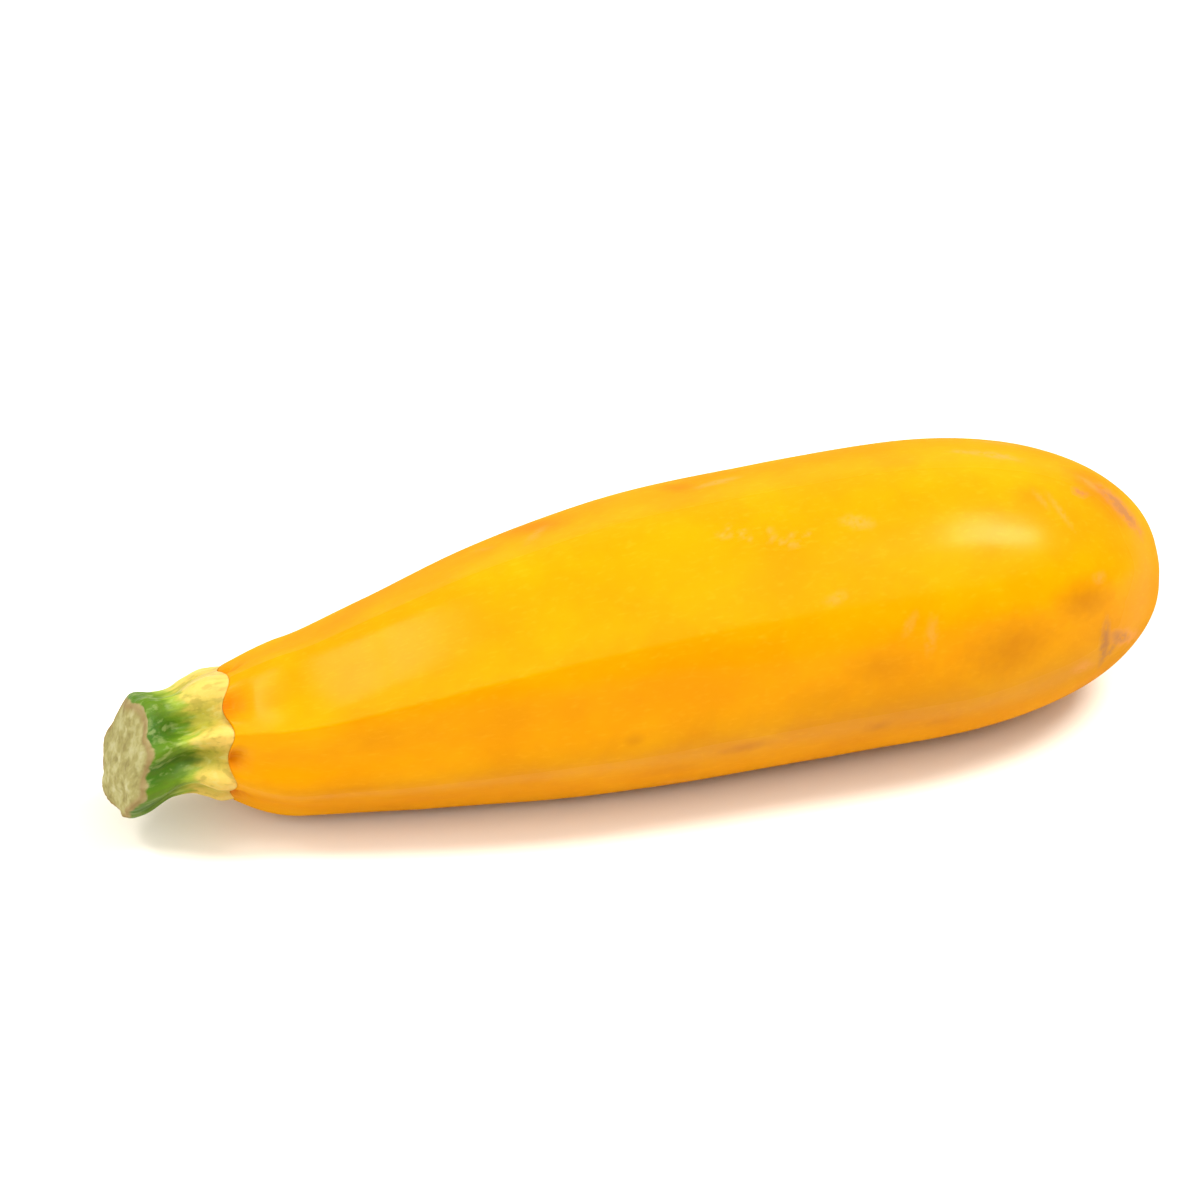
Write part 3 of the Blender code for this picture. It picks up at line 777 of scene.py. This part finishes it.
print("streaks are", STREAK_WIDTH / MM, "mm wide and", round(STREAK_WIDTH / STREAK_PULL / MM, 1), "mm long")

# %% From yellow foot to green cut
RIDGE_COLOURS = ((0, "#CCA850"), (0.38, "#C4AA4C"), (0.54, "#84962A"), (0.68, "#54720C"), (1, "#4A6A08"))
GROOVE_COLOURS = ((0, "#B4923A"), (0.42, "#968E2A"), (0.62, "#526E0A"), (0.78, "#3A5C04"), (1, "#345A04"))

on_ridges = add_node(tree, "ShaderNodeValToRGB", {"Fac": greening.outputs[0]})
set_stops(on_ridges, RIDGE_COLOURS)
in_grooves = add_node(tree, "ShaderNodeValToRGB", {"Fac": greening.outputs[0]})
set_stops(in_grooves, GROOVE_COLOURS)
deep = add_node(tree, "ShaderNodeMapRange", {"Value": stem_groove, "From Min": 0.25, "From Max": 0.95})
stalk_colour = add_node(tree, "ShaderNodeMix", {
    0: deep.outputs[0], COLOUR_A: on_ridges.outputs["Color"], COLOUR_B: in_grooves.outputs["Color"]},
    data_type="RGBA").outputs[COLOUR_MIXED]
print("places of the colours on the ridges:", [place for place, _ in RIDGE_COLOURS])

# %% Dark patches in the stalk's skin, and pale ones that are partly painted glints
PATCH_SIZE, PATCH_PULL = 1.3 * MM, 0.45
# Each kind of patch: the noise where it starts, where it is full, its colour, and its strength.
# The dark patches are the skin's own mottling, and the pale ones are partly mottling and partly painted
# glints.
MOTTLES_AND_GLINTS = ((0.54, 0.66, "#BCC07C", 0.2), (0.46, 0.36, "#4C5A10", 0.28))

pulled = add_node(tree, "ShaderNodeMapping", {"Vector": stem_places, "Scale": (PATCH_PULL, 1, 1)})
patches = add_node(tree, "ShaderNodeTexNoise", {
    "Vector": pulled.outputs[0], "Scale": 1 / PATCH_SIZE, "Detail": 3})
for start, full, tint, strength in MOTTLES_AND_GLINTS:
    patch = add_node(tree, "ShaderNodeMapRange", {
        "Value": patches.outputs["Fac"], "From Min": start, "From Max": full, "To Max": strength})
    stalk_colour = add_node(tree, "ShaderNodeMix", {
        0: patch.outputs[0], COLOUR_A: stalk_colour, COLOUR_B: linear(tint)},
        data_type="RGBA").outputs[COLOUR_MIXED]
print(len(MOTTLES_AND_GLINTS), "kinds of patches,", PATCH_SIZE / MM, "mm across")

# %% The dry cut
GRAIN_SIZE = 1.8 * MM
CORK_COLOURS = ((0.3, "#7A7042"), (0.45, "#88804E"), (0.6, "#969060"), (0.75, "#A09A72"))
RIM_BROWN = linear("#7E6440")
TEAR = 1.2                      # how far the grain moves the edge between skin and cork

grain = add_node(tree, "ShaderNodeTexNoise", {"Vector": stem_places, "Scale": 1 / GRAIN_SIZE, "Detail": 2})
dry = add_node(tree, "ShaderNodeValToRGB", {"Fac": grain.outputs["Fac"]})
set_stops(dry, CORK_COLOURS)
cut_mask = add_node(tree, "ShaderNodeAttribute", {}, attribute_name="cut").outputs["Fac"]
torn = add_node(tree, "ShaderNodeMath", {
    0: grain.outputs["Fac"], 1: TEAR, 2: -TEAR / 2}, operation="MULTIPLY_ADD")
cut_edge = add_node(tree, "ShaderNodeMath", {0: cut_mask, 1: torn.outputs[0]}, operation="ADD")
cut_share = add_node(tree, "ShaderNodeMapRange", {
    "Value": cut_edge.outputs[0], "From Min": 0.35, "From Max": 0.6}).outputs[0]
rim = add_node(tree, "ShaderNodeAttribute", {}, attribute_name="rim").outputs["Fac"]
dry_colour = add_node(tree, "ShaderNodeMix", {
    0: rim, COLOUR_A: dry.outputs["Color"], COLOUR_B: RIM_BROWN}, data_type="RGBA").outputs[COLOUR_MIXED]
stalk_colour = add_node(tree, "ShaderNodeMix", {
    0: cut_share, COLOUR_A: stalk_colour, COLOUR_B: dry_colour}, data_type="RGBA").outputs[COLOUR_MIXED]
print("the cut's grain is", GRAIN_SIZE / MM, "mm across")

# %% The stalk's surface
STALK_IOR, STALK_GLOSS = 1.45, 0.2              # dry fibre, with little of its wax left
STALK_ROUGHNESS, CUT_ROUGHNESS = 0.55, 0.85
FIBRE_BUMP = 0.1 * MM
STALK_DEPTH = 0.8 * MM          # how far light spreads in the stalk

stalk_roughness = add_node(tree, "ShaderNodeMapRange", {
    "Value": cut_share, "To Min": STALK_ROUGHNESS, "To Max": CUT_ROUGHNESS})
fine = add_node(tree, "ShaderNodeMath", {
    0: streaks.outputs["Fac"], 1: grain.outputs["Fac"]}, operation="ADD")
bump = add_node(tree, "ShaderNodeBump", {"Height": fine.outputs[0], "Distance": FIBRE_BUMP, "Strength": 1})
shader = add_node(tree, "ShaderNodeBsdfPrincipled", {
    "Base Color": stalk_colour, "Roughness": stalk_roughness.outputs[0], "Normal": bump.outputs[0],
    "IOR": STALK_IOR, "Specular IOR Level": STALK_GLOSS, "Subsurface Weight": 0.1,
    "Subsurface Radius": (1, 0.9, 0.3), "Subsurface Scale": STALK_DEPTH})
add_node(tree, "ShaderNodeOutputMaterial", {"Surface": shader.outputs[0]})
stem.data.materials.append(stalk)
print(stalk.name, "has", len(tree.nodes), "nodes")

# %% The pieces join the frame
for piece, node, slot in ((fruit, "fruit", "skin"), (stem, "stem", "stem")):
    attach(piece, "root")
    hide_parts(node)
    print(piece.name, "stands for the solid", node)

# %% [markdown]
# ## The studio
# The fruit lies on white paper under a wide bright ceiling, in a room whose walls are dim and a little
# paler beyond the fruit and on the stem's side. A small softbox high to the right gives the blossom end
# its soft-edged highlight, a weaker one to the left puts a sheen on the shoulder, and a large faint one
# fills the shadow in front. The paper is lit past white, so it shows only the soft shadow under the fruit.
# An image of a real studio could light it too. A few plain lights were chosen, because each highlight in
# the rind can then be put where it belongs.

# %% White paper
FLOOR_SIZE = 3                  # metres
PAPER_WHITE = linear("#EFE8DA")
PAPER_ROUGHNESS = 0.9           # uncoated paper scatters light and mirrors almost none of it

bpy.ops.mesh.primitive_plane_add(size=FLOOR_SIZE)
floor = bpy.context.object
floor.name = "paper"
paper, tree = new_material("white matt paper")
shader = add_node(tree, "ShaderNodeBsdfPrincipled", {
    "Base Color": PAPER_WHITE, "Roughness": PAPER_ROUGHNESS})
add_node(tree, "ShaderNodeOutputMaterial", {"Surface": shader.outputs[0]})
floor.data.materials.append(paper)
print("paper:", FLOOR_SIZE, "m wide")

# %% The bright ceiling and the dim room
# A direction's X, Y and Z run from -1 to 1: from the stem's side, from the viewer's side, and from below.
WALL_TOP, CEILING_START = 0.52, 0.74            # the heights between which the dim wall turns into ceiling
NEAR_SIDE = -0.6                                # the Y where the viewer's end of the room is reached
WALL_FAR_SIDE, CEILING_FAR_SIDE = 0.3, 0.1      # the Y where each has its brightness beyond the fruit
WALL_GLOWS, CEILING_GLOWS = (0.05, 0.6), (2.45, 1)      # on the viewer's side, and beyond the fruit
SIDE_STARTS, SIDE_FULL, SIDE_GLOW = -0.5, -0.9, 1.2     # the paler wall on the stem's side

world = bpy.data.worlds.new("studio")
bpy.context.scene.world = world
world.use_nodes = True
tree = world.node_tree
tree.nodes.clear()
looking = add_node(tree, "ShaderNodeTexCoord", {}).outputs["Generated"]
way = add_node(tree, "ShaderNodeSeparateXYZ", {"Vector": looking})
height = add_node(tree, "ShaderNodeMapRange", {
    "Value": way.outputs["Z"], "From Min": WALL_TOP, "From Max": CEILING_START})
wall = add_node(tree, "ShaderNodeMapRange", {
    "Value": way.outputs["Y"], "From Min": NEAR_SIDE, "From Max": WALL_FAR_SIDE,
    "To Min": WALL_GLOWS[0], "To Max": WALL_GLOWS[1]})
ceiling = add_node(tree, "ShaderNodeMapRange", {
    "Value": way.outputs["Y"], "From Min": NEAR_SIDE, "From Max": CEILING_FAR_SIDE,
    "To Min": CEILING_GLOWS[0], "To Max": CEILING_GLOWS[1]})
room = add_node(tree, "ShaderNodeMix", {
    0: height.outputs[0], NUMBER_A: wall.outputs[0], NUMBER_B: ceiling.outputs[0]})
side_wall = add_node(tree, "ShaderNodeMapRange", {
    "Value": way.outputs["X"], "From Min": SIDE_STARTS, "From Max": SIDE_FULL, "To Max": SIDE_GLOW})
glow = add_node(tree, "ShaderNodeMath", {0: room.outputs[0], 1: side_wall.outputs[0]}, operation="ADD")
background = add_node(tree, "ShaderNodeBackground", {
    "Color": linear("#FFFFFF"), "Strength": glow.outputs[0]})
add_node(tree, "ShaderNodeOutputWorld", {"Surface": background.outputs[0]})
print("the dim wall ends", round(float(np.degrees(np.arcsin(WALL_TOP)))), "degrees above the floor")

# %% Three softboxes
SOFTBOX_AWAY = 0.9              # metres from the fruit
# Each softbox: its name, the direction that it stands in, its width and depth in metres, and its watts.
SOFTBOXES = (("main softbox", (0.5, -0.12, 0.86), 0.2, 0.28, 7.6),
             ("side softbox", (-0.53, 0.02, 0.85), 0.3, 0.14, 2.4),
             ("front softbox", (-0.66, -0.5, 0.56), 0.7, 0.7, 2.5))

for name, towards, width, depth, watts in SOFTBOXES:
    light = bpy.data.lights.new(name, "AREA")
    light.shape, light.size, light.size_y = "RECTANGLE", width, depth
    light.energy = watts
    softbox = bpy.data.objects.new(name, light)
    back = Vector(towards).normalized()
    softbox.location = back * SOFTBOX_AWAY
    softbox.rotation_euler = (-back).to_track_quat("-Z", "Y").to_euler()
    bpy.context.scene.collection.objects.link(softbox)
    print(name, round(float(np.degrees(np.arcsin(back.z)))), "degrees above the floor")

# %% [markdown]
# ## The camera
# The photograph looks down at 40 degrees, from a little to the stem's side, with a long lens. The camera
# could be moved by eye until the picture fits. Here its direction, its distance and what the frame spans
# are plain values, because they were measured from the fruit's outline: the lens follows from the last
# two, and the point that the camera aims at gives the fruit its place in the frame.

# %% Camera
ELEVATION, AZIMUTH = radians(40), radians(-12)
CAMERA_DISTANCE = 900 * MM
FRAME_WIDTH = 206 * MM          # what the frame spans at the fruit
FRUIT_MIDDLE_HEIGHT = 25 * MM
RIGHT_OF_CENTRE, BELOW_CENTRE = 5.67 * MM, 5.27 * MM    # where the fruit's middle lies in the frame

fruit_middle = Vector((0, 0, FRUIT_MIDDLE_HEIGHT))
to_camera = Vector((np.sin(AZIMUTH) * np.cos(ELEVATION), -np.cos(AZIMUTH) * np.cos(ELEVATION),
                    np.sin(ELEVATION)))
to_right = Vector((np.cos(AZIMUTH), np.sin(AZIMUTH), 0))
aim = fruit_middle - to_right * RIGHT_OF_CENTRE + to_camera.cross(to_right) * BELOW_CENTRE
view = bpy.data.cameras.new("view")
view.lens = view.sensor_width * CAMERA_DISTANCE / FRAME_WIDTH
camera = bpy.data.objects.new("camera", view)
camera.location = fruit_middle + to_camera * CAMERA_DISTANCE
camera.rotation_euler = (aim - camera.location).to_track_quat("-Z", "Y").to_euler()
bpy.context.scene.collection.objects.link(camera)
bpy.context.scene.camera = camera
bpy.context.scene.view_settings.view_transform = "Standard"     # the plain tones of a catalogue picture
print("lens", round(view.lens, 1), "mm")
